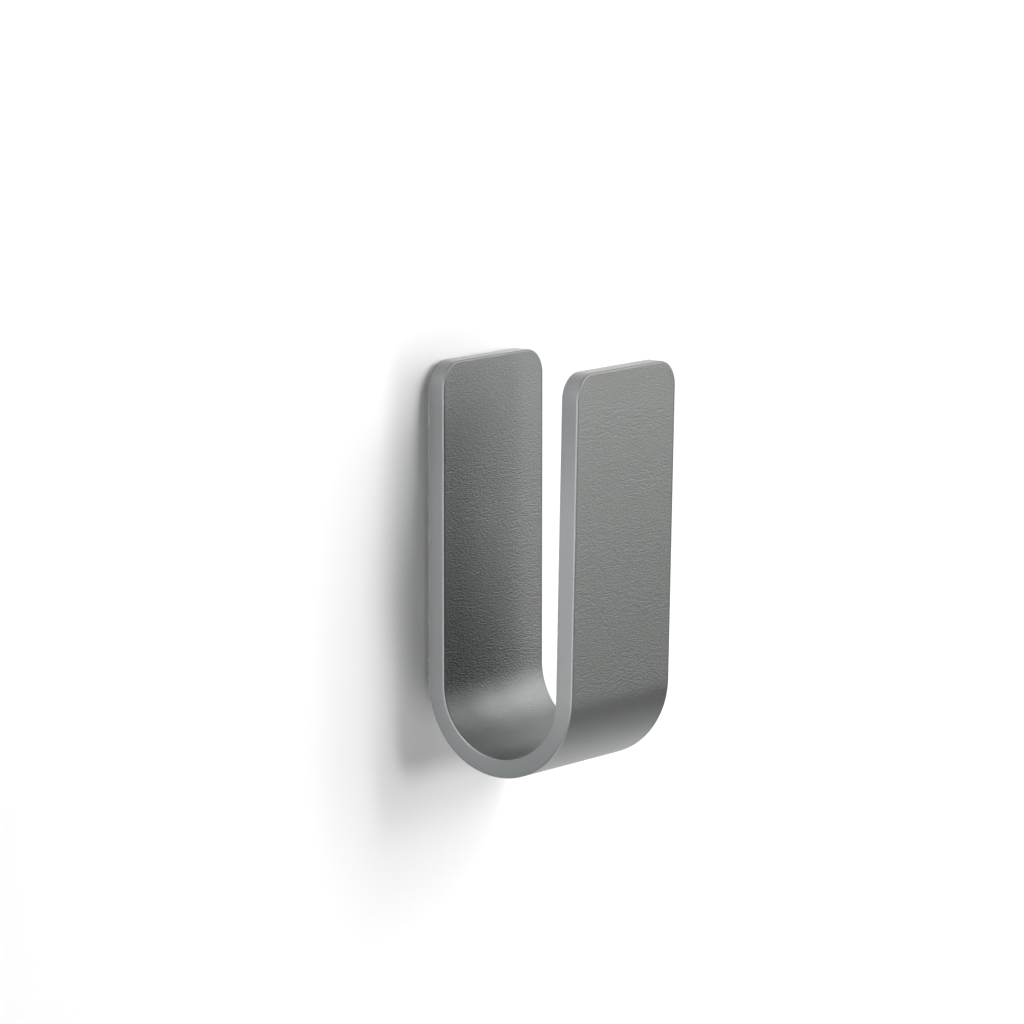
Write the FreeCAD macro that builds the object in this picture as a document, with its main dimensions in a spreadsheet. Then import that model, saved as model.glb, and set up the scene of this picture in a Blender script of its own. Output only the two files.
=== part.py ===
import FreeCAD, Part
import math
import os
import Sketcher

# Wall hook: a flat bar bent into a U, with a thin adhesive pad behind its rear arm.
# Millimetres. X runs along the bar's width, Y points into the wall, Z points up.
# The origin is the centre of the pad's face on the wall.

doc = FreeCAD.newDocument("wall_hook")

# Driving sizes
SIZES = [
    ("bar_width", 35.0, "width of the flat bar, along the wall"),
    ("bar_thickness", 4.0, "thickness of the flat bar"),
    ("hook_height", 85.0, "height from the lowest point of the bend to the tips"),
    ("throat_width", 28.5, "clear gap between the arms where the bend starts"),
    ("front_lean", 1.2, "degrees by which the front arm opens away from the wall"),
    ("tip_radius", 6.0, "radius of the rounded corners at both tips"),
    ("edge_radius", 0.4, "radius by which every edge of the bar is broken"),
    ("pad_thickness", 0.8, "thickness of the foam adhesive pad"),
    ("pad_margin", 3.0, "distance that the pad stays inside the rear arm's flat back"),
    ("pad_corner_radius", 3.0, "radius of the pad's corners"),
]

sheet = doc.addObject("Spreadsheet::Sheet", "sizes")
for row, (alias, value, meaning) in enumerate(SIZES, start=1):
    sheet.set(f"A{row}", meaning)
    sheet.set(f"B{row}", str(value))
    sheet.setAlias(f"B{row}", alias)
doc.recompute()

# Sizes that follow from the driving ones, as expressions on the sheet
INNER_RADIUS = "sizes.throat_width / 2"
OUTER_RADIUS = "(sizes.throat_width / 2 + sizes.bar_thickness)"
STRAIGHT_LENGTH = f"(sizes.hook_height - {OUTER_RADIUS})"
PAD_WIDTH = "(sizes.bar_width - 2 * sizes.pad_margin)"
PAD_HEIGHT = f"({STRAIGHT_LENGTH} - 2 * sizes.pad_margin)"

# Start values for the sketches, which the solver then moves onto the expressions
inner = sheet.throat_width / 2
outer = inner + sheet.bar_thickness
straight = sheet.hook_height - outer
lean = math.radians(sheet.front_lean)

ANGLE_TOLERANCE = 1e-3
LENGTH_TOLERANCE = 1e-4


def origin_plane(body, role):
    """The body's own origin plane of that role."""
    return next(item for item in body.Origin.OriginFeatures if item.Role == role)


def new_sketch(body, name, plane):
    """A sketch attached to one of the body's origin planes."""
    sketch = body.newObject("Sketcher::SketchObject", name)
    sketch.AttachmentSupport = [(origin_plane(body, plane), "")]
    sketch.MapMode = "FlatFace"
    return sketch


def constrain(sketch, expression, name, *arguments):
    """A named dimension of the sketch, bound to an expression on the sheet."""
    index = sketch.addConstraint(Sketcher.Constraint(*arguments))
    sketch.renameConstraint(index, name)
    sketch.setExpression(f"Constraints.{name}", expression)


def sharp_edges(shape):
    """Names of the edges where two faces of the solid meet at an angle, not in a smooth run."""
    names = []
    for number, edge in enumerate(shape.Edges, start=1):
        middle = edge.valueAt((edge.FirstParameter + edge.LastParameter) / 2)
        faces = shape.ancestorsOfType(edge, Part.Face)
        normals = [face.normalAt(*face.Surface.parameter(middle)) for face in faces]
        if len(normals) == 2 and normals[0].getAngle(normals[1]) > ANGLE_TOLERANCE:
            names.append(f"Edge{number}")
    return names


def straight_edges(shape, length):
    """Names of the straight edges of one length."""
    names = []
    for number, edge in enumerate(shape.Edges, start=1):
        is_line = edge.Curve.TypeId == "Part::GeomLine"
        if is_line and abs(edge.Length - length) < LENGTH_TOLERANCE:
            names.append(f"Edge{number}")
    return names


def fillet(body, name, base, edges, expression):
    """A round of one radius on the named edges of the feature before it."""
    feature = body.newObject("PartDesign::Fillet", name)
    feature.Base = (base, edges)
    feature.setExpression("Radius", expression)
    doc.recompute()
    return feature


# The hook: a U outline in the plane across the wall, extruded to the bar's width.
# The body's own origin lies on the rear arm's back face, level with the bend's centre.
# The profile's first axis is Y and its second is Z.
def make_hook():
    body = doc.addObject("PartDesign::Body", "hook")
    body.Label = "hook"
    profile = new_sketch(body, "bar_profile", "YZ_Plane")

    centre = FreeCAD.Vector(-outer, 0, 0)
    outward = FreeCAD.Vector(-math.cos(lean), -math.sin(lean), 0)
    along = FreeCAD.Vector(-math.sin(lean), math.cos(lean), 0)
    axis = FreeCAD.Vector(0, 0, 1)
    rear_foot = FreeCAD.Vector(0, 0, 0)
    rear_tip = FreeCAD.Vector(0, straight, 0)
    wall = FreeCAD.Vector(sheet.bar_thickness, 0, 0)
    front_foot_outer = centre + outward * outer
    front_foot_inner = centre + outward * inner
    front_tip_outer = front_foot_outer + along * straight
    front_tip_inner = front_foot_inner + along * straight

    rear_back = profile.addGeometry(Part.LineSegment(rear_foot, rear_tip))
    rear_end = profile.addGeometry(Part.LineSegment(rear_tip, rear_tip - wall))
    rear_face = profile.addGeometry(Part.LineSegment(rear_tip - wall, rear_foot - wall))
    bend_inside = profile.addGeometry(
        Part.ArcOfCircle(Part.Circle(centre, axis, inner), math.pi + lean, 2 * math.pi))
    front_back = profile.addGeometry(Part.LineSegment(front_foot_inner, front_tip_inner))
    front_end = profile.addGeometry(Part.LineSegment(front_tip_inner, front_tip_outer))
    front_face = profile.addGeometry(Part.LineSegment(front_tip_outer, front_foot_outer))
    bend_outside = profile.addGeometry(
        Part.ArcOfCircle(Part.Circle(centre, axis, outer), math.pi + lean, 2 * math.pi))

    # Corners at the tips
    for first, second in ((rear_back, rear_end), (rear_end, rear_face),
                          (front_back, front_end), (front_end, front_face)):
        profile.addConstraint(Sketcher.Constraint("Coincident", first, 2, second, 1))
    # Arms run into the bend without a corner
    for arm, arm_end, arc, arc_end in ((rear_back, 1, bend_outside, 2),
                                       (rear_face, 2, bend_inside, 2),
                                       (front_back, 1, bend_inside, 1),
                                       (front_face, 2, bend_outside, 1)):
        profile.addConstraint(Sketcher.Constraint("Tangent", arm, arm_end, arc, arc_end))
    profile.addConstraint(Sketcher.Constraint("Coincident", bend_inside, 3, bend_outside, 3))
    profile.addConstraint(Sketcher.Constraint("Coincident", rear_back, 1, -1, 1))
    profile.addConstraint(Sketcher.Constraint("Vertical", rear_back))
    profile.addConstraint(Sketcher.Constraint("Perpendicular", rear_back, rear_end))
    profile.addConstraint(Sketcher.Constraint("Parallel", front_back, front_face))
    profile.addConstraint(Sketcher.Constraint("Perpendicular", front_end, front_face))

    # Sizes
    constrain(profile, INNER_RADIUS, "inside_radius", "Radius", bend_inside, inner)
    constrain(profile, OUTER_RADIUS, "outside_radius", "Radius", bend_outside, outer)
    constrain(profile, STRAIGHT_LENGTH, "rear_height", "DistanceY", -1, 1, rear_back, 2, straight)
    constrain(profile, STRAIGHT_LENGTH, "front_height", "DistanceY", -1, 1, front_face, 1, straight)
    constrain(profile, "sizes.front_lean * 1 deg", "lean", "Angle", rear_back, 1, front_back, 1, lean)

    bar = body.newObject("PartDesign::Pad", "bar")
    bar.Profile = profile
    bar.SideType = "Symmetric"
    bar.setExpression("Length", "sizes.bar_width")
    doc.recompute()

    tips = straight_edges(bar.Shape, sheet.bar_thickness)
    rounded = fillet(body, "tip_corners", bar, tips, "sizes.tip_radius")
    fillet(body, "broken_edges", rounded, sharp_edges(rounded.Shape), "sizes.edge_radius")

    body.setExpression("Placement.Base.y", "-sizes.pad_thickness")
    body.setExpression("Placement.Base.z", f"-{STRAIGHT_LENGTH} / 2")
    return body


# The adhesive pad: a thin rounded rectangle centred on the flat of the rear arm's back.
# Its own origin is the centre of its face on the wall.
def make_pad():
    body = doc.addObject("PartDesign::Body", "adhesive_pad")
    body.Label = "adhesive_pad"
    outline = new_sketch(body, "pad_outline", "XZ_Plane")

    half_width = sheet.bar_width / 2 - sheet.pad_margin
    half_height = straight / 2 - sheet.pad_margin
    corners = [FreeCAD.Vector(side * half_width, level * half_height, 0)
               for side, level in ((-1, -1), (1, -1), (1, 1), (-1, 1))]
    lines = [outline.addGeometry(Part.LineSegment(corners[i], corners[(i + 1) % 4]))
             for i in range(4)]
    for i in range(4):
        outline.addConstraint(Sketcher.Constraint("Coincident", lines[i], 2, lines[(i + 1) % 4], 1))
    outline.addConstraint(Sketcher.Constraint("Horizontal", lines[0]))
    outline.addConstraint(Sketcher.Constraint("Vertical", lines[1]))
    outline.addConstraint(Sketcher.Constraint("Horizontal", lines[2]))
    outline.addConstraint(Sketcher.Constraint("Vertical", lines[3]))
    outline.addConstraint(Sketcher.Constraint("Symmetric", lines[0], 1, lines[2], 1, -1, 1))
    constrain(outline, PAD_WIDTH, "width", "DistanceX", lines[0], 1, lines[0], 2, 2 * half_width)
    constrain(outline, PAD_HEIGHT, "height", "DistanceY", lines[1], 1, lines[1], 2, 2 * half_height)

    foam = body.newObject("PartDesign::Pad", "foam")
    foam.Profile = outline
    foam.setExpression("Length", "sizes.pad_thickness")
    doc.recompute()

    corner_edges = straight_edges(foam.Shape, sheet.pad_thickness)
    fillet(body, "pad_corners", foam, corner_edges, "sizes.pad_corner_radius")
    return body


parts = [make_hook(), make_pad()]
doc.recompute()

# Every object has to be sound before anything is written
for item in doc.Objects:
    if "Invalid" in item.State or "Error" in item.State:
        raise RuntimeError(f"{item.Label} failed: {item.State}")
for body in parts:
    if body.Shape.isNull() or not body.Shape.isValid():
        raise RuntimeError(f"{body.Label} has no valid shape")

os.makedirs("parts", exist_ok=True)
for body in parts:
    body.Shape.exportStep(f"parts/{body.Label}.step")
    box = body.Shape.optimalBoundingBox(False, False)
    print(f"{body.Label}: volume {body.Shape.Volume:.1f} mm3, "
          f"x {box.XMin:.3f} to {box.XMax:.3f}, y {box.YMin:.3f} to {box.YMax:.3f}, "
          f"z {box.ZMin:.3f} to {box.ZMax:.3f}")
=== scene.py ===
"""Wall hook: a U bent from flat bar, powder coated grey, on a thin foam pad, against a white wall.

Metres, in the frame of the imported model: X along the bar's width, Y into the wall, Z up.
The origin is the centre of the pad's face on the wall.
"""

import math

import bpy
import numpy as np
from bpy.props import FloatProperty, FloatVectorProperty, PointerProperty
from mathutils import Matrix, Vector


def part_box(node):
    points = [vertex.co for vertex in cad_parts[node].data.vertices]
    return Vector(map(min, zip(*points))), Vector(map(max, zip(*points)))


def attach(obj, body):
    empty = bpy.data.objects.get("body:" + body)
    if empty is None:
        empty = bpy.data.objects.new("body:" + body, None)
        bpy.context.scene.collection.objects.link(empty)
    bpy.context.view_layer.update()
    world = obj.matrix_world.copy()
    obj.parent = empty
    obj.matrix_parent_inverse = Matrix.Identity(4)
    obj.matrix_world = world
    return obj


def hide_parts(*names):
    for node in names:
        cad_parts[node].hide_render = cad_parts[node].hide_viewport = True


bl_info = {
    "name": "Wall hook",
    "version": (1, 0, 0),
    "blender": (4, 5, 0),
    "location": "3D View > Sidebar > Wall hook",
    "description": "Builds a bent wall hook, its foam pad and a plain studio around the packed model",
    "category": "Object",
}

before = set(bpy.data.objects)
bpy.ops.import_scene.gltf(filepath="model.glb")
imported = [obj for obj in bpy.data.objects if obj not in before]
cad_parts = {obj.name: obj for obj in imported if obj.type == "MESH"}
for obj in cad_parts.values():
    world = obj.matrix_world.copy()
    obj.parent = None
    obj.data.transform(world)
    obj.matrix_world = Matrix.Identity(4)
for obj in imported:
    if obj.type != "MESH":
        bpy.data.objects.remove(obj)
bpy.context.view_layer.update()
BAR_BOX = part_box("hook")
PAD_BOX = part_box("adhesive_pad")

MM = 0.001


# Colour and node helpers

def srgb(code):
    """Linear RGBA of an sRGB hex code, by the standard's two-part curve."""
    parts = [int(code[i:i + 2], 16) / 255 for i in (0, 2, 4)]
    return tuple(c / 12.92 if c <= 0.04045 else ((c + 0.055) / 1.055) ** 2.4 for c in parts) + (1.0,)


def new_material(name):
    """An empty material with its node tree and output node."""
    material = bpy.data.materials.new(name)
    material.use_nodes = True
    tree = material.node_tree
    tree.nodes.clear()
    return material, tree, tree.nodes.new("ShaderNodeOutputMaterial")


def node(tree, kind, inputs=None, **settings):
    """Adds one node. inputs maps a socket's name or number to a value or to another node's output."""
    added = tree.nodes.new(kind)
    for key, value in settings.items():
        setattr(added, key, value)
    for key, value in (inputs or {}).items():
        if isinstance(value, bpy.types.NodeSocket):
            tree.links.new(value, added.inputs[key])
        else:
            added.inputs[key].default_value = value
    return added


# Sizes and colours that a user would change

class BarSizes(bpy.types.PropertyGroup):
    """The bent bar and its paint"""
    width: FloatProperty(name="Width", description="Width of the flat bar", unit="LENGTH",
                         default=float(BAR_BOX[1][0] - BAR_BOX[0][0]))
    thickness: FloatProperty(name="Thickness", description="Thickness of the flat bar", unit="LENGTH",
                             default=4 * MM)
    throat: FloatProperty(name="Throat", description="Clear gap between the arms at the bend",
                          unit="LENGTH", default=28.5 * MM)
    height: FloatProperty(name="Height", description="From the bend's lowest point to the tips",
                          unit="LENGTH", default=85 * MM)
    lean: FloatProperty(name="Lean", description="Angle by which the front arm opens",
                        subtype="ANGLE", default=math.radians(1.2))
    tip_radius: FloatProperty(name="Tip radius", description="Radius of the corners at the tips",
                              unit="LENGTH", default=5.4 * MM)
    edge_radius: FloatProperty(name="Edge radius", description="Radius by which the edges are broken",
                               unit="LENGTH", default=0.4 * MM)
    color: FloatVectorProperty(name="Face colour", description="Colour of the coat on the rear arm",
                               size=4, subtype="COLOR", min=0, max=1, default=srgb("7D7F7E"))
    front_color: FloatVectorProperty(name="Front colour",
                                     description="Colour of the coat on the front arm, a little warmer",
                                     size=4, subtype="COLOR", min=0, max=1, default=srgb("7D7F7D"))
    # Painted shade: the arms are painted darker towards the bend, where less light reaches them
    foot_shade_color: FloatVectorProperty(name="Foot colour",
                                    description="Colour of both arms where they run into the bend",
                                    size=4, subtype="COLOR", min=0, max=1, default=srgb("727472"))
    # Painted shade: low inside the rear arm, where the front arm and the bend shade it
    shade_color: FloatVectorProperty(name="Shade colour",
                                     description="Darker tone of the coat low inside the rear arm",
                                     size=4, subtype="COLOR", min=0, max=1, default=srgb("626463"))
    side_color: FloatVectorProperty(name="Side colour", description="Colour of the coat on the sides",
                                    size=4, subtype="COLOR", min=0, max=1, default=srgb("858788"))
    # Painted shade on the sides round the bend and near the tips
    side_shade_color: FloatVectorProperty(name="Low side colour",
                                        description="Colour of the sides round the bend, a little darker",
                                        size=4, subtype="COLOR", min=0, max=1, default=srgb("717475"))
    # Painted highlight: the end faces are painted lighter, where the tops catch light from above
    tip_highlight_color: FloatVectorProperty(name="Tip colour", description="Colour of the end faces",
                                   size=4, subtype="COLOR", min=0, max=1, default=srgb("969694"))
    strip_color: FloatVectorProperty(name="Strip colour",
                                     description="Colour of the thin strip inside the faces' outline",
                                     size=4, subtype="COLOR", min=0, max=1, default=srgb("5B5D5C"))
    # Painted highlight: this light colour on the edge stands in for the lamps' shine on the round, not
    # for wear
    edge_highlight_color: FloatVectorProperty(name="Worn edge colour",
                                    description="Lighter colour where handling has polished the edge",
                                    size=4, subtype="COLOR", min=0, max=1, default=srgb("959797"))
    face_roughness: FloatProperty(name="Face roughness", description="Roughness of the wide faces",
                                  subtype="FACTOR", min=0, max=1, default=0.45)
    side_roughness: FloatProperty(name="Side roughness", description="Roughness of the narrow sides",
                                  subtype="FACTOR", min=0, max=1, default=0.6)
    rear_tip_roughness: FloatProperty(name="Rear tip roughness",
                                      description="Roughness of the rear arm's end face",
                                      subtype="FACTOR", min=0, max=1, default=0.22)
    front_tip_roughness: FloatProperty(name="Front tip roughness",
                                       description="Roughness of the front arm's end face",
                                       subtype="FACTOR", min=0, max=1, default=0.34)
    corner_roughness: FloatProperty(name="Corner roughness",
                                    description="Roughness of the broken edges round the tips' corners",
                                    subtype="FACTOR", min=0, max=1, default=0.62)
    grain_length: FloatProperty(name="Grain length", description="Length of the grain along the width",
                                unit="LENGTH", default=0.82 * MM)
    grain_pitch: FloatProperty(name="Grain pitch", description="Spacing of the grain along the bar",
                               unit="LENGTH", default=0.27 * MM)
    grain_depth: FloatProperty(name="Grain depth", description="Height of the grain",
                               unit="LENGTH", default=0.143 * MM)


class PadSizes(bpy.types.PropertyGroup):
    """The foam pad between the bar and the wall"""
    width: FloatProperty(name="Width", description="Width of the pad", unit="LENGTH",
                         default=float(PAD_BOX[1][0] - PAD_BOX[0][0]))
    height: FloatProperty(name="Height", description="Height of the pad", unit="LENGTH",
                          default=float(PAD_BOX[1][2] - PAD_BOX[0][2]))
    thickness: FloatProperty(name="Thickness", description="Thickness with both films", unit="LENGTH",
                             default=float(PAD_BOX[1][1] - PAD_BOX[0][1]))
    corner_radius: FloatProperty(name="Corner radius", description="Radius of the pad's corners",
                                 unit="LENGTH", default=3 * MM)
    film: FloatProperty(name="Film", description="Thickness of the adhesive film on each face",
                        unit="LENGTH", default=0.1 * MM)
    color: FloatVectorProperty(name="Foam", description="Colour of the foam", size=4,
                               subtype="COLOR", min=0, max=1, default=srgb("CDCCC8"))


class StudioSizes(bpy.types.PropertyGroup):
    """The wall, the floor, the lamps and the camera"""
    floor_drop: FloatProperty(name="Floor drop", description="Height of the hook above the floor",
                              unit="LENGTH", default=1.0)
    reach: FloatProperty(name="Reach", description="Half the width of the wall and the floor",
                         unit="LENGTH", default=1.5)
    azimuth: FloatProperty(name="Azimuth", description="Turn of the camera from straight ahead",
                           subtype="ANGLE", default=math.radians(-53.841))
    elevation: FloatProperty(name="Elevation", description="Height angle of the camera",
                             subtype="ANGLE", default=math.radians(8.552))
    roll: FloatProperty(name="Roll", description="Turn of the camera about its own axis",
                        subtype="ANGLE", default=math.radians(-0.054))
    distance: FloatProperty(name="Distance", description="From the camera to the point it aims at",
                            unit="LENGTH", default=1.19872)
    lens: FloatProperty(name="Lens", description="Focal length in millimetres on a 36 mm sensor",
                        unit="CAMERA", default=203.44)
    aim: FloatVectorProperty(name="Aim", description="Point that the camera aims at", size=3,
                             subtype="XYZ", unit="LENGTH", default=(-0.003674, -0.012183, 0.001522))


# Surfaces

def plate(half_width, length, corner, profile, across, along, steps):
    """A plate with rounded corners as one closed surface, in its own coordinates x, s and h.

    Both faces are grids of the same rows and columns. A row in a corner is at
    s = corner - r cos(a) and is half_width - corner + r sin(a) wide each way, with r the corner's
    radius less the profile's first inset and a going from 0 to a right angle. The rim carries the
    profile round the outline: each outline point moves along its own outward normal by the inset
    that is left, and takes the profile's height. Returns points, quads and, for each point, the
    step of the profile it belongs to.
    """
    inset, height = np.array(profile).T
    angle = np.linspace(0, math.pi / 2, steps + 1)
    r = corner - inset[0]
    near_s = corner - r * np.cos(angle)
    near_half = half_width - corner + r * np.sin(angle)
    row_s = np.concatenate([near_s, along, length - near_s[::-1]])
    row_half = np.concatenate([near_half, np.full(len(along), half_width - inset[0]), near_half[::-1]])
    normal_x = np.concatenate([np.sin(angle), np.ones(len(along)), np.sin(angle)[::-1]])
    normal_s = np.concatenate([-np.cos(angle), np.zeros(len(along)), np.cos(angle)[::-1]])
    rows, columns = len(row_s), len(across)

    face_x = row_half[:, None] * across[None, :]
    face_s = np.repeat(row_s[:, None], columns, axis=1)
    number = np.arange(rows * columns).reshape(rows, columns)
    inner = slice(1, rows - 1)
    loop = np.concatenate([number[0], number[inner, -1], number[-1, ::-1], number[inner, 0][::-1]])
    flat = np.zeros(columns)
    loop_nx = np.concatenate([flat, normal_x[inner], flat, -normal_x[inner][::-1]])
    loop_ns = np.concatenate([flat - 1, normal_s[inner], flat + 1, normal_s[inner][::-1]])

    out = (inset[0] - inset[1:-1])[:, None]
    rim_x = face_x.ravel()[loop][None, :] + out * loop_nx
    rim_s = face_s.ravel()[loop][None, :] + out * loop_ns
    rim_h = np.repeat(height[1:-1, None], len(loop), axis=1)

    def stack(x, s, h):
        return np.stack([x.ravel(), s.ravel(), h.ravel()], axis=1)

    points = np.concatenate([
        stack(face_x, face_s, np.full_like(face_x, height[0])),
        stack(rim_x, rim_s, rim_h),
        stack(face_x, face_s, np.full_like(face_x, height[-1])),
    ])
    step = np.concatenate([
        np.zeros(rows * columns), np.repeat(np.arange(1, len(inset) - 1), len(loop)),
        np.full(rows * columns, len(inset) - 1)])

    first = rows * columns
    last = first + rim_x.size
    rings = np.vstack([loop, first + np.arange(rim_x.size).reshape(rim_x.shape), last + loop])
    upper, lower = rings[:-1], rings[1:]
    rim = np.stack([lower, np.roll(lower, -1, axis=1), np.roll(upper, -1, axis=1), upper], axis=-1)
    top = np.stack([number[:-1, :-1], number[:-1, 1:], number[1:, 1:], number[1:, :-1]], axis=-1)
    quads = np.concatenate([top.reshape(-1, 4), rim.reshape(-1, 4), last + top.reshape(-1, 4)[:, ::-1]])
    return points, quads, step


def bend_round(points, straight, middle_radius, back, centre_z, lean):
    """Carries a flat plate along the hook's path, a straight run down, an arc and a straight run up.

    With t = s - straight the arc's angle is t / middle_radius, held between 0 and a half turn less
    the lean. A point lies at the arc's centre plus (middle_radius + h) along the arc's outward
    normal, plus whatever of t lies before or past the arc along the arc's tangent.
    """
    x, s, h = points.T
    turned = np.clip((s - straight) / middle_radius, 0, math.pi - lean)
    extra = s - straight - turned * middle_radius
    radius = middle_radius + h
    y = back + radius * np.cos(turned) - extra * np.sin(turned)
    z = centre_z - radius * np.sin(turned) - extra * np.cos(turned)
    return np.stack([x, y, z], axis=1)


def rounded_rim(thickness, radius, steps):
    """A rim's profile as pairs of inset and height: a quarter round, a straight and a quarter round."""
    angle = np.linspace(0, math.pi / 2, steps + 1)
    inset = radius * (1 - np.sin(angle))
    height = thickness / 2 - radius * (1 - np.cos(angle))
    upper = list(zip(inset, height))
    lower = [(i, -h) for i, h in upper[::-1]]
    return upper + lower


def bar_path(bar):
    """The bend's outer and middle radius, and the lengths of the rear arm, the front arm and the whole.

    Each arm is measured along its straight. The front arm leans, and its outer corner ends level
    with the rear arm's tip: its straight is (rear straight + outer radius * sin(lean)) / cos(lean).
    """
    outer = bar.throat / 2 + bar.thickness
    middle = outer - bar.thickness / 2
    straight = bar.height - outer
    front = (straight + outer * math.sin(bar.lean)) / math.cos(bar.lean)
    length = straight + middle * (math.pi - bar.lean) + front
    return outer, middle, straight, front, length


def ramp(values, start, end):
    """0 at start and 1 at end, in a straight line between them and level outside."""
    return np.clip((values - start) / (end - start), 0, 1)


def peak(values, centre, reach):
    """1 at the centre, falling in a straight line to 0 at reach on each side of it."""
    return np.clip(1 - np.abs(values - centre) / reach, 0, 1)


def coat_shares(bar, points, step, last):
    """The grain, tones and roughness of the coat, with one value for each point of the flat plate.

    step is the step of the rim's profile that a point belongs to, and last is the profile's last.
    side is 0 on the wide faces, 1 on the straight of the rim, and graded over the rounds between.
    turned goes from 0 to 1 along the bend, and fade is 0 on the arms and 1 from 6 mm into the bend.
    turn goes from 0 on the sides to 1 on the end faces, with the rim's turn round a tip's corner.
    """
    middle, straight, front, length = bar_path(bar)[1:]
    x, s = points[:, 0], points[:, 1]
    on_face = (step == 0) | (step == last)
    side = np.clip(np.minimum(step, last - step) / (last // 2), 0, 1)
    at_rear = s < length / 2
    from_tip = np.minimum(s, length - s)
    bend = math.pi * middle
    turned = ramp(s, straight, straight + bend)
    fade = ramp(np.minimum(turned, 1 - turned) * bend, 0, 6 * MM)
    turn = np.arcsin(ramp(from_tip, bar.tip_radius, 0)) / (math.pi / 2)
    corner = ramp(turn, 0, 1 / 3)

    # The grain is deepest low on the rear arm and finer on the front arm. The bend keeps a trace.
    down = ramp(s, 10 * MM, 38 * MM)
    rear_grain = 0.49 + 0.66 * down * down * (3 - 2 * down)
    front_grain = 0.49 + 0.18 * ramp(length - s, 0, front)
    grain = np.where(on_face, (1 - 0.62 * fade) * np.where(at_rear, rear_grain, front_grain), 0)

    # The end faces are the smoothest, and the round is rough round the corners
    tip_roughness = np.where(at_rear, bar.rear_tip_roughness, bar.front_tip_roughness)
    roughness = (bar.face_roughness + (bar.side_roughness - bar.face_roughness) * side
                 + (tip_roughness - bar.side_roughness) * ramp(turn, 0.4, 0.8) * side)
    on_round = np.clip(2.4 * (1 - np.abs(2 * side - 1)), 0, 1) * corner
    roughness = roughness + (bar.corner_roughness - roughness) * on_round

    # Painted highlight: the middle of the round is painted light along the arms, for the lamps' shine on
    # the edge, but not at the wall or under the bend
    on_front = ramp(turned, 0.5, 1)
    highlight_inside = (1 - 0.6 * fade) * (1 - 0.5 * on_front)
    highlight_outside = (1 - fade) * ~at_rear
    edge_highlight = peak(side, 0.52, 0.3) * (1 - corner) * np.where(step > last / 2, highlight_inside, highlight_outside)

    # The coat is thinner and darker in a narrow strip inside the outline of the faces. Round the
    # tips the strip lies on the round itself, towards the end face.
    past_x = np.abs(x) - (bar.width / 2 - bar.tip_radius)
    past_s = bar.tip_radius - from_tip
    depth = (bar.tip_radius - np.hypot(np.maximum(past_x, 0), np.maximum(past_s, 0))
             - np.minimum(np.maximum(past_x, past_s), 0))
    strip = np.where(on_face, ramp(depth - bar.edge_radius, 0.39 * MM, 0.09 * MM), ramp(side, 0.3, 0))
    strip = np.maximum(strip * (1 - corner) * (1 - fade), 0.8 * peak(side, 0.75, 0.3) * corner)

    # Painted shade: the sides are painted darker round the bend and near the tips, most of all on the
    # front arm
    near_tip = ramp(from_tip, 30 * MM, 10 * MM) * np.where(at_rear, 0.6, 0.8)
    side_shade = np.maximum(np.sin(math.pi * turned ** 1.5), near_tip)

    # Painted shade: the coat is painted darker down both arms, and low inside the rear arm still more,
    # where the front arm and the bend shade it
    foot_shade = ramp(from_tip, 8 * MM, straight) * (1 - 0.65 * fade)
    shade = (ramp(s, 33 * MM, 61 * MM) * ramp(s, straight + 8 * MM, straight)
             * ramp(x, 14 * MM, -1 * MM) * at_rear)
    return {
        "grain_share": grain, "side_share": side, "tip_highlight_share": ramp(turn, 0.3, 0.8) * side,
        "front_share": on_front, "side_shade_share": side_shade, "foot_shade_share": foot_shade,
        "shade_share": np.where(step == last, shade, 0), "strip_share": strip, "edge_highlight_share": edge_highlight,
        "coat_roughness": roughness}


def new_piece(name, points, quads, materials):
    """A smooth mesh object with its origin at the part's origin, linked to the scene."""
    mesh = bpy.data.meshes.new(name)
    mesh.from_pydata(points.tolist(), [], quads.tolist())
    mesh.polygons.foreach_set("use_smooth", np.ones(len(quads), dtype=bool))
    for material in materials:
        mesh.materials.append(material)
    mesh.update()
    piece = bpy.data.objects.new(name, mesh)
    bpy.context.scene.collection.objects.link(piece)
    return piece


def flat_sheet(name, corners, material):
    """A single flat quad of the stage, with its corners in order seen from its front."""
    mesh = bpy.data.meshes.new(name)
    mesh.from_pydata(corners, [], [(0, 1, 2, 3)])
    mesh.materials.append(material)
    sheet = bpy.data.objects.new(name, mesh)
    bpy.context.scene.collection.objects.link(sheet)
    return sheet


# Materials

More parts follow.
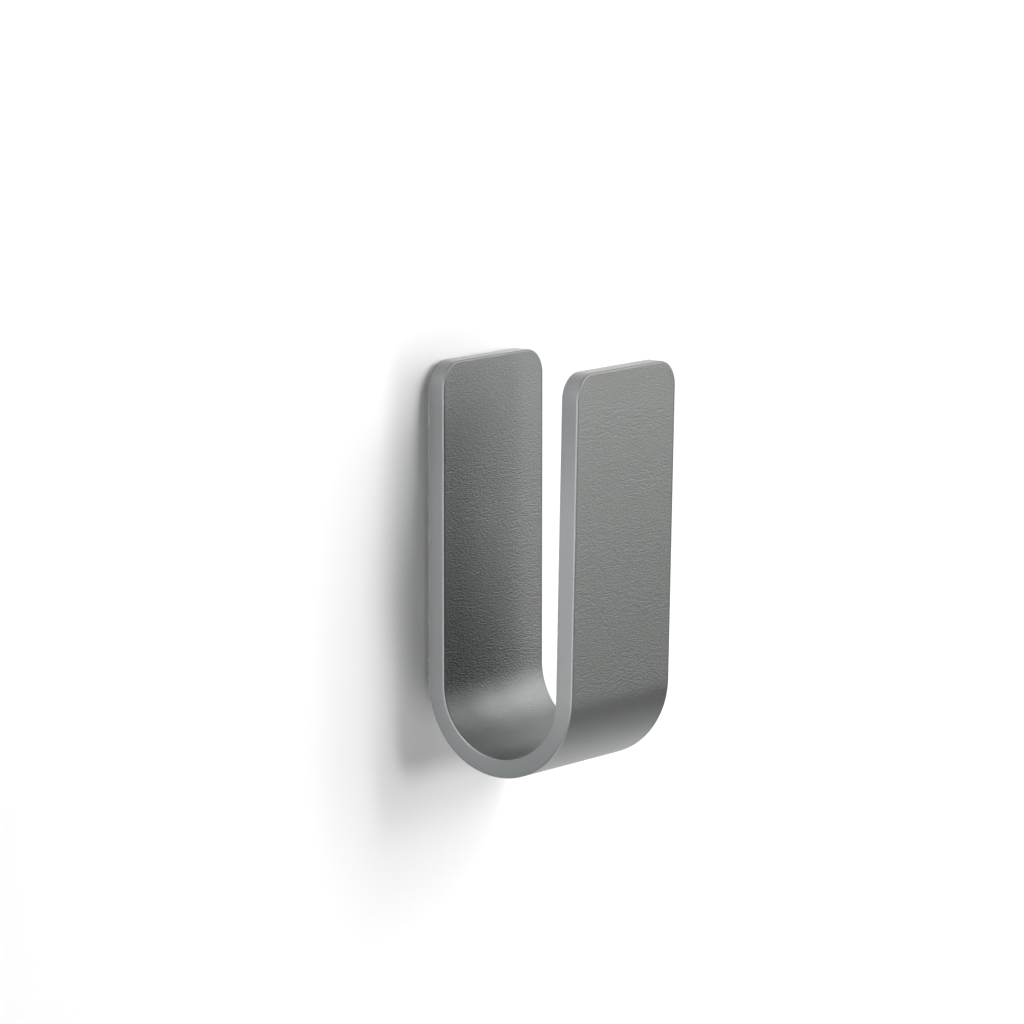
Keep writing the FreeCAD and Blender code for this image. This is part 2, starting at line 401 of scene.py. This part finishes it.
def powder_coat(bar):
    """Aluminium bar with a baked polyester powder coat, satin grey and dense with metal flake.

    The flake makes the coat shine like dull metal. The skin cures with a fine grain on the flats,
    longer across the bar than along it, and is drawn nearly smooth on the bend. The cut sides are
    without grain but rougher, and the end faces are smoother.
    """
    material, tree, output = new_material("satin_metallic_powder_coat")
    place = node(tree, "ShaderNodeTexCoord").outputs["Object"]
    stretch = node(tree, "ShaderNodeMapping", {
        "Vector": place, "Scale": (1 / bar.grain_length, 1 / bar.grain_pitch, 1 / bar.grain_pitch)})
    grain = node(tree, "ShaderNodeTexNoise", {
        "Vector": stretch.outputs["Vector"], "Scale": 1.0, "Detail": 1.0, "Roughness": 0.5})
    share = node(tree, "ShaderNodeAttribute", attribute_name="grain_share").outputs["Fac"]
    bump = node(tree, "ShaderNodeBump", {
        "Height": grain.outputs["Fac"], "Strength": share, "Distance": bar.grain_depth})
    side_shade = node(tree, "ShaderNodeAttribute", attribute_name="side_shade_share").outputs["Fac"]
    rim = node(tree, "ShaderNodeMix", {0: side_shade, 6: bar.side_color, 7: bar.side_shade_color},
               data_type="RGBA")
    # Each tone is laid over those before it. The foot, shade and darker side tones are painted shade, and
    # the tip and edge tones are painted highlights
    color = bar.color
    for name, tone in (("front_share", bar.front_color), ("foot_shade_share", bar.foot_shade_color),
                       ("shade_share", bar.shade_color), ("side_share", rim.outputs[2]),
                       ("tip_highlight_share", bar.tip_highlight_color), ("strip_share", bar.strip_color),
                       ("edge_highlight_share", bar.edge_highlight_color)):
        amount = node(tree, "ShaderNodeAttribute", attribute_name=name).outputs["Fac"]
        layer = node(tree, "ShaderNodeMix", {0: amount, 6: color, 7: tone}, data_type="RGBA")
        color = layer.outputs[2]
    rough = node(tree, "ShaderNodeAttribute", attribute_name="coat_roughness").outputs["Fac"]
    shader = node(tree, "ShaderNodeBsdfPrincipled", {
        "Base Color": color, "Metallic": 1.0, "Roughness": rough,
        "Normal": bump.outputs["Normal"]})
    tree.links.new(shader.outputs["BSDF"], output.inputs["Surface"])
    return material


def closed_cell_foam(pad):
    """Extruded polyethylene foam, cut to shape: matt and pale, with fine round cells at the cut."""
    material, tree, output = new_material("cut_polyethylene_foam")
    place = node(tree, "ShaderNodeTexCoord").outputs["Object"]
    cell = 0.25 * MM
    cells = node(tree, "ShaderNodeTexVoronoi", {"Vector": place, "Scale": 1 / cell})
    bump = node(tree, "ShaderNodeBump", {
        "Height": cells.outputs["Distance"], "Strength": 0.5, "Distance": 0.05 * MM})
    shader = node(tree, "ShaderNodeBsdfPrincipled", {
        "Base Color": tuple(pad.color), "Roughness": 0.85, "Normal": bump.outputs["Normal"]})
    tree.links.new(shader.outputs["BSDF"], output.inputs["Surface"])
    return material


def adhesive_film():
    """Acrylic adhesive film, rolled onto the foam: smooth, a little glossy, with soft waves."""
    material, tree, output = new_material("rolled_acrylic_adhesive")
    place = node(tree, "ShaderNodeTexCoord").outputs["Object"]
    wave = 4 * MM
    waves = node(tree, "ShaderNodeTexNoise", {"Vector": place, "Scale": 1 / wave, "Detail": 2.0})
    bump = node(tree, "ShaderNodeBump", {
        "Height": waves.outputs["Fac"], "Strength": 0.4, "Distance": 0.1 * MM})
    shader = node(tree, "ShaderNodeBsdfPrincipled", {
        "Base Color": srgb("C9C8C2"), "Roughness": 0.35, "Normal": bump.outputs["Normal"]})
    tree.links.new(shader.outputs["BSDF"], output.inputs["Surface"])
    return material


def matt_paint(name, color, one_sided=False, seen=None):
    """Matt emulsion on plaster or board, for the studio's wall and floor. It has no gloss at all.

    A one-sided sheet is clear from its back. seen is the tone that the camera sees in its place.
    """
    material, tree, output = new_material(name)
    surface = node(tree, "ShaderNodeBsdfDiffuse", {"Color": color}).outputs["BSDF"]
    if seen:
        tone = node(tree, "ShaderNodeEmission", {"Color": seen, "Strength": 1.0}).outputs["Emission"]
        ray = node(tree, "ShaderNodeLightPath").outputs["Is Camera Ray"]
        surface = node(tree, "ShaderNodeMixShader", {0: ray, 1: surface, 2: tone}).outputs["Shader"]
    if one_sided:
        side = node(tree, "ShaderNodeNewGeometry").outputs["Backfacing"]
        clear = node(tree, "ShaderNodeBsdfTransparent").outputs["BSDF"]
        surface = node(tree, "ShaderNodeMixShader", {0: side, 1: surface, 2: clear}).outputs["Shader"]
    tree.links.new(surface, output.inputs["Surface"])
    return material


# Operators

class WALLHOOK_OT_bar(bpy.types.Operator):
    """Builds the bent bar with its paint"""
    bl_idname = "wallhook.bar"
    bl_label = "Bent bar"

    def execute(self, context):
        bar = context.scene.wall_hook_bar
        outer, middle, straight, _, length = bar_path(bar)
        cell = 1.2 * MM
        round_steps, corner_steps = 8, 16
        along = np.linspace(bar.tip_radius, length - bar.tip_radius, round(length / cell) + 1)[1:-1]
        inner = np.linspace(-1, 1, round(bar.width / cell) + 1)[1:-1]
        # Two more columns stand close to each long edge, to carry the narrow strip
        near = 1 - np.array([0.12, 0.4]) * MM / (bar.width / 2)
        across = np.concatenate([[-1], -near, inner, near[::-1], [1]])
        profile = rounded_rim(bar.thickness, bar.edge_radius, round_steps)
        points, quads, step = plate(bar.width / 2, length, bar.tip_radius, profile, across, along,
                                    corner_steps)
        placed = bend_round(points, straight, middle, float(BAR_BOX[1][1]) - outer,
                            float(BAR_BOX[0][2]) + outer, bar.lean)
        piece = new_piece("bent_bar", placed, quads, [powder_coat(bar)])
        for name, values in coat_shares(bar, points, step, len(profile) - 1).items():
            piece.data.attributes.new(name, "FLOAT", "POINT").data.foreach_set("value", values)
        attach(piece, "root")
        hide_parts("hook")
        return {"FINISHED"}


class WALLHOOK_OT_pad(bpy.types.Operator):
    """Builds the foam pad with an adhesive film on each face"""
    bl_idname = "wallhook.pad"
    bl_label = "Foam pad"

    def execute(self, context):
        pad = context.scene.wall_hook_pad
        half = pad.thickness / 2
        core = half - pad.film
        # The film's edge is blunt, and the foam swells out between the two films
        foam_steps, corner_steps = 9, 10
        edge, swell = 0.15 * MM, 0.12 * MM
        film = [(2 * edge, half), (edge, half), (0.12 * MM, half - pad.film / 2)]
        bulge = np.sin(np.linspace(0, math.pi, foam_steps)) * swell
        foam = [(edge - out, h) for out, h in zip(bulge, np.linspace(core, -core, foam_steps))]
        profile = film + foam + [(inset, -h) for inset, h in film[::-1]]
        across = np.linspace(-1, 1, 13)
        along = np.linspace(pad.corner_radius, pad.height - pad.corner_radius, 25)[1:-1]
        points, quads, step = plate(pad.width / 2, pad.height, pad.corner_radius, profile,
                                    across, along, corner_steps)
        x, s, h = points.T
        centre = [float(a + b) / 2 for a, b in zip(*PAD_BOX)]
        placed = np.stack([centre[0] + x, centre[1] + h, centre[2] + pad.height / 2 - s], axis=1)
        piece = new_piece("foam_pad", placed, quads, [adhesive_film(), closed_cell_foam(pad)])
        first, last = len(film), len(film) + foam_steps - 1
        in_foam = (step[quads].min(axis=1) >= first) & (step[quads].max(axis=1) <= last)
        piece.data.polygons.foreach_set("material_index", in_foam.astype(np.int32))
        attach(piece, "root")
        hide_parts("adhesive_pad")
        return {"FINISHED"}


# Soft boxes, one metre from the hook: azimuth from -X towards -Y and elevation in degrees, width
# and height in metres, power in watts. Those at an azimuth below zero stand behind the wall.
SOFT_BOXES = [
    (-95, -10, 0.4, 0.4, 3),
    (-52, 30, 0.2, 0.25, 0.25),
    (-36, -8, 0.2, 0.25, 1.14),
    (3, 20, 0.1, 0.3, 2.83),
    (3, 40, 0.1, 0.3, 3.3),
    (12, 20, 0.2, 0.3, 2.17),
    (12, 40, 0.2, 0.3, 1.19),
    (103, -60, 0.3, 0.3, 1),
    (103, -40, 0.3, 0.3, 0.82),
    (106, 0, 0.15, 0.3, 3.08),
    (114, 20, 0.15, 0.3, 2.02),
    (114, 40, 0.15, 0.3, 1.38),
    (122, 0, 0.15, 0.3, 0.53),
    (130, 0, 0.15, 0.3, 0.18),
    (130, 20, 0.15, 0.3, 1.24),
    (130, 40, 0.15, 0.3, 1.58),
    (131, 60, 0.3, 0.3, 1.9),
    (145, -60, 0.3, 0.3, 2.26),
    (145, -40, 0.3, 0.3, 0.37),
    (147, 0, 0.24, 0.3, 0.71),
    (147, 20, 0.24, 0.3, 0.91),
    (147, 40, 0.24, 0.3, 0.68),
]
# These light only what shines, so they stay off the matt wall. They stand in the directions that the
# wide faces mirror in views from the right.
SHINE_BOXES = [
    (30, -12, 0.3, 0.5, 2.2),
    (50, -12, 0.3, 0.5, 2.2),
    (70, -12, 0.3, 0.5, 1.6),
]


class WALLHOOK_OT_studio(bpy.types.Operator):
    """Builds the white wall, the pale floor, the soft boxes and the camera"""
    bl_idname = "wallhook.studio"
    bl_label = "Studio"

    def execute(self, context):
        scene = context.scene
        studio = scene.wall_hook_studio
        reach, low, high = studio.reach, -studio.floor_drop, 3.0
        # The wall stands a hair behind the pad, so the two don't share a plane
        plane = 0.03 * MM
        wall = flat_sheet("studio_wall", [(-reach, plane, low), (reach, plane, low),
                                          (reach, plane, high), (-reach, plane, high)],
                          matt_paint("matt_white_wall", srgb("F0F0F0"), one_sided=True))
        wall.visible_shadow = False
        flat_sheet("studio_floor", [(-reach, -reach, low), (reach, -reach, low),
                                    (reach, reach, low), (-reach, reach, low)],
                   matt_paint("matt_pale_floor", srgb("BCBCBC"), seen=srgb("D6D6D4")))
        for number, row in enumerate(SOFT_BOXES + SHINE_BOXES, start=1):
            azimuth, elevation, width, height, power = row
            a, e = math.radians(azimuth), math.radians(elevation)
            away = Vector((-math.cos(a) * math.cos(e), -math.sin(a) * math.cos(e), math.sin(e)))
            name = f"soft_box_{number:02d}"
            data = bpy.data.lights.new(name, "AREA")
            data.shape, data.size, data.size_y, data.energy = "RECTANGLE", width, height, power
            # A reflected ray can't find a lamp behind the wall, so those are only sampled directly
            data.cycles.use_multiple_importance_sampling = azimuth > 0
            lamp = bpy.data.objects.new(name, data)
            lamp.matrix_world = (Matrix.Translation(away)
                                 @ away.to_track_quat("Z", "Y").to_matrix().to_4x4())
            lamp.visible_camera = False
            lamp.visible_diffuse = number <= len(SOFT_BOXES)
            scene.collection.objects.link(lamp)

        world = bpy.data.worlds.new("pale_studio")
        world.use_nodes = True
        tree = world.node_tree
        tree.nodes.clear()
        # The room looks pale where nothing stands before it, but gives almost no light
        glow = node(tree, "ShaderNodeBackground", {"Color": srgb("F4F4F4"), "Strength": 0.02})
        seen = node(tree, "ShaderNodeBackground", {"Color": srgb("E2E2E0"), "Strength": 1.0})
        ray = node(tree, "ShaderNodeLightPath").outputs["Is Camera Ray"]
        mixed = node(tree, "ShaderNodeMixShader", {
            0: ray, 1: glow.outputs["Background"], 2: seen.outputs["Background"]})
        output = node(tree, "ShaderNodeOutputWorld")
        tree.links.new(mixed.outputs["Shader"], output.inputs["Surface"])
        scene.world = world
        scene.view_settings.view_transform = "Standard"

        data = bpy.data.cameras.new("camera")
        data.sensor_width, data.lens = 36, studio.lens
        data.clip_end = 50
        camera = bpy.data.objects.new("camera", data)
        a, e = studio.azimuth, studio.elevation
        back = Vector((math.sin(a) * math.cos(e), -math.cos(a) * math.cos(e), math.sin(e)))
        camera.matrix_world = (Matrix.Translation(Vector(studio.aim) + back * studio.distance)
                               @ back.to_track_quat("Z", "Y").to_matrix().to_4x4()
                               @ Matrix.Rotation(-studio.roll, 4, "Z"))
        scene.collection.objects.link(camera)
        scene.camera = camera
        return {"FINISHED"}


class WALLHOOK_PT_sidebar(bpy.types.Panel):
    """Lists the hook's pieces and their sizes"""
    bl_idname = "WALLHOOK_PT_sidebar"
    bl_label = "Wall hook"
    bl_space_type = "VIEW_3D"
    bl_region_type = "UI"
    bl_category = "Wall hook"

    def draw(self, context):
        scene = context.scene
        for operator, sizes in ((WALLHOOK_OT_bar, scene.wall_hook_bar),
                                (WALLHOOK_OT_pad, scene.wall_hook_pad),
                                (WALLHOOK_OT_studio, scene.wall_hook_studio)):
            box = self.layout.box()
            box.operator(operator.bl_idname)
            for name in sizes.__annotations__:
                box.prop(sizes, name)


CLASSES = (BarSizes, PadSizes, StudioSizes, WALLHOOK_OT_bar, WALLHOOK_OT_pad, WALLHOOK_OT_studio,
           WALLHOOK_PT_sidebar)


def register():
    for item in CLASSES:
        bpy.utils.register_class(item)
    bpy.types.Scene.wall_hook_bar = PointerProperty(type=BarSizes)
    bpy.types.Scene.wall_hook_pad = PointerProperty(type=PadSizes)
    bpy.types.Scene.wall_hook_studio = PointerProperty(type=StudioSizes)


def unregister():
    del bpy.types.Scene.wall_hook_studio
    del bpy.types.Scene.wall_hook_pad
    del bpy.types.Scene.wall_hook_bar
    for item in reversed(CLASSES):
        bpy.utils.unregister_class(item)


def main():
    register()
    bpy.ops.wallhook.bar()
    bpy.ops.wallhook.pad()
    bpy.ops.wallhook.studio()
    bpy.context.view_layer.update()


if __name__ == "__main__":
    main()
